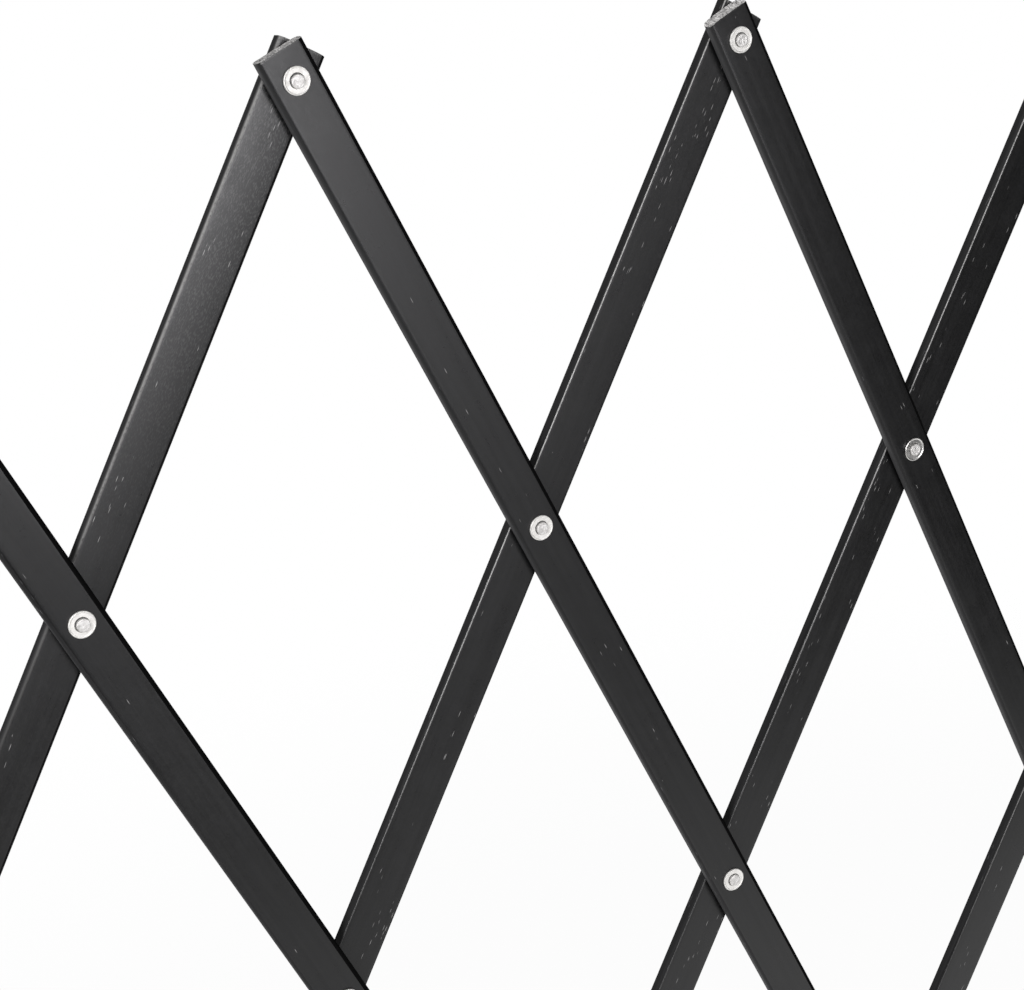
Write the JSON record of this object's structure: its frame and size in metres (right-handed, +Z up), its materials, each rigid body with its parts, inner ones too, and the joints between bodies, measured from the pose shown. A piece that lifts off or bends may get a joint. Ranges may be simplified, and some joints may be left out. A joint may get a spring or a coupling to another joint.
{
  "type": "folding pet barrier",
  "caption": "Folding pet barrier: a riveted lattice of black wooden slats that stretches like a scissor between two end posts, screwed to the sides of a doorway.",
  "frame": {"origin": "on the left end post's outer face, half way between its two screw holes", "axes": "+X from the left post to the right one, +Y through the lattice to the posts' side, +Z up"},
  "size_m": [0.8105, 0.0337, 0.824],
  "materials": {
    "black_wood": "black stain, satin",
    "zinc_steel": "zinc plated",
    "black_nylon": "matt"
  },
  "bodies": {
    "left_post": {"left_post": "black_wood", "left_lower_pivot": "zinc_steel", "left_lower_spacer": "black_nylon", "left_lower_back_washer": "zinc_steel"},
    "front_slat_1": {"front_slat_1": "black_wood", "front_slat_1_rivets": "zinc_steel", "front_slat_1_washers": "zinc_steel"},
    "front_slat_2": {"front_slat_2": "black_wood", "front_slat_2_rivets": "zinc_steel", "front_slat_2_washers": "zinc_steel", "left_upper_pivot": "zinc_steel", "left_upper_spacer": "black_nylon", "left_upper_back_washer": "zinc_steel"},
    "front_slat_3": {"front_slat_3": "black_wood", "front_slat_3_rivets": "zinc_steel", "front_slat_3_washers": "zinc_steel"},
    "front_slat_4": {"front_slat_4": "black_wood", "front_slat_4_rivets": "zinc_steel", "front_slat_4_washers": "zinc_steel"},
    "front_slat_5": {"front_slat_5": "black_wood", "front_slat_5_rivets": "zinc_steel", "front_slat_5_washers": "zinc_steel"},
    "front_slat_6": {"front_slat_6": "black_wood", "front_slat_6_rivets": "zinc_steel", "front_slat_6_washers": "zinc_steel", "right_upper_pivot": "zinc_steel", "right_upper_spacer": "black_nylon", "right_upper_back_washer": "zinc_steel"},
    "rear_slat_1": {"rear_slat_1": "black_wood"},
    "rear_slat_2": {"rear_slat_2": "black_wood"},
    "rear_slat_3": {"rear_slat_3": "black_wood"},
    "rear_slat_4": {"rear_slat_4": "black_wood"},
    "rear_slat_5": {"rear_slat_5": "black_wood"},
    "rear_slat_6": {"rear_slat_6": "black_wood"},
    "right_post": {"right_post": "black_wood", "right_lower_pivot": "zinc_steel", "right_lower_spacer": "black_nylon", "right_lower_back_washer": "zinc_steel"}
  },
  "joints": [
    {"name": "lattice_fold", "type": "hinge", "parent": "left_post", "child": "rear_slat_2", "pos_m": [0.02, -0.0159, -0.1593], "axis": [0, 1, 0], "range_deg": [-24, 20]},
    {"name": "front_slat_1_turn", "type": "hinge", "parent": "left_post", "child": "front_slat_1", "pos_m": [0.02, -0.0159, -0.1593], "axis": [0, -1, 0], "range_deg": [-24, 20]},
    {"name": "front_slat_2_turn", "type": "hinge", "parent": "rear_slat_2", "child": "front_slat_2", "pos_m": [0.11632, -0.0159, 0.02731], "axis": [0, -1, 0], "range_deg": [-48, 40]},
    {"name": "front_slat_3_turn", "type": "hinge", "parent": "rear_slat_2", "child": "front_slat_3", "pos_m": [0.21263, -0.0159, 0.21392], "axis": [0, -1, 0], "range_deg": [-48, 40]},
    {"name": "front_slat_4_turn", "type": "hinge", "parent": "rear_slat_2", "child": "front_slat_4", "pos_m": [0.30895, -0.0159, 0.40053], "axis": [0, -1, 0], "range_deg": [-48, 40]},
    {"name": "rear_slat_1_turn", "type": "hinge", "parent": "front_slat_3", "child": "rear_slat_1", "pos_m": [0.11632, -0.0159, 0.40053], "axis": [0, 1, 0], "range_deg": [-48, 40]},
    {"name": "rear_slat_3_turn", "type": "hinge", "parent": "front_slat_4", "child": "rear_slat_3", "pos_m": [0.40527, -0.0159, 0.21392], "axis": [0, 1, 0], "range_deg": [-48, 40]},
    {"name": "rear_slat_4_turn", "type": "hinge", "parent": "front_slat_4", "child": "rear_slat_4", "pos_m": [0.50158, -0.0159, 0.02731], "axis": [0, 1, 0], "range_deg": [-48, 40]},
    {"name": "rear_slat_5_turn", "type": "hinge", "parent": "front_slat_4", "child": "rear_slat_5", "pos_m": [0.5979, -0.0159, -0.1593], "axis": [0, 1, 0], "range_deg": [-48, 40]},
    {"name": "rear_slat_6_turn", "type": "hinge", "parent": "front_slat_4", "child": "rear_slat_6", "pos_m": [0.69421, -0.0159, -0.34591], "axis": [0, 1, 0], "range_deg": [-48, 40]},
    {"name": "front_slat_5_turn", "type": "hinge", "parent": "rear_slat_4", "child": "front_slat_5", "pos_m": [0.5979, -0.0159, 0.21392], "axis": [0, -1, 0], "range_deg": [-48, 40]},
    {"name": "front_slat_6_turn", "type": "hinge", "parent": "rear_slat_4", "child": "front_slat_6", "pos_m": [0.69421, -0.0159, 0.40053], "axis": [0, -1, 0], "range_deg": [-48, 40]},
    {"name": "right_post_turn", "type": "hinge", "parent": "rear_slat_6", "child": "right_post", "pos_m": [0.79053, -0.0159, -0.1593], "axis": [0, -1, 0], "range_deg": [-24, 20]}
  ],
  "couplings": [
    {"joint": "front_slat_1_turn", "follows": "lattice_fold", "ratio": 1},
    {"joint": "front_slat_2_turn", "follows": "lattice_fold", "ratio": 2},
    {"joint": "front_slat_3_turn", "follows": "lattice_fold", "ratio": 2},
    {"joint": "front_slat_4_turn", "follows": "lattice_fold", "ratio": 2},
    {"joint": "rear_slat_1_turn", "follows": "lattice_fold", "ratio": 2},
    {"joint": "rear_slat_3_turn", "follows": "lattice_fold", "ratio": 2},
    {"joint": "rear_slat_4_turn", "follows": "lattice_fold", "ratio": 2},
    {"joint": "rear_slat_5_turn", "follows": "lattice_fold", "ratio": 2},
    {"joint": "rear_slat_6_turn", "follows": "lattice_fold", "ratio": 2},
    {"joint": "front_slat_5_turn", "follows": "lattice_fold", "ratio": 2},
    {"joint": "front_slat_6_turn", "follows": "lattice_fold", "ratio": 2},
    {"joint": "right_post_turn", "follows": "lattice_fold", "ratio": 1}
  ]
}
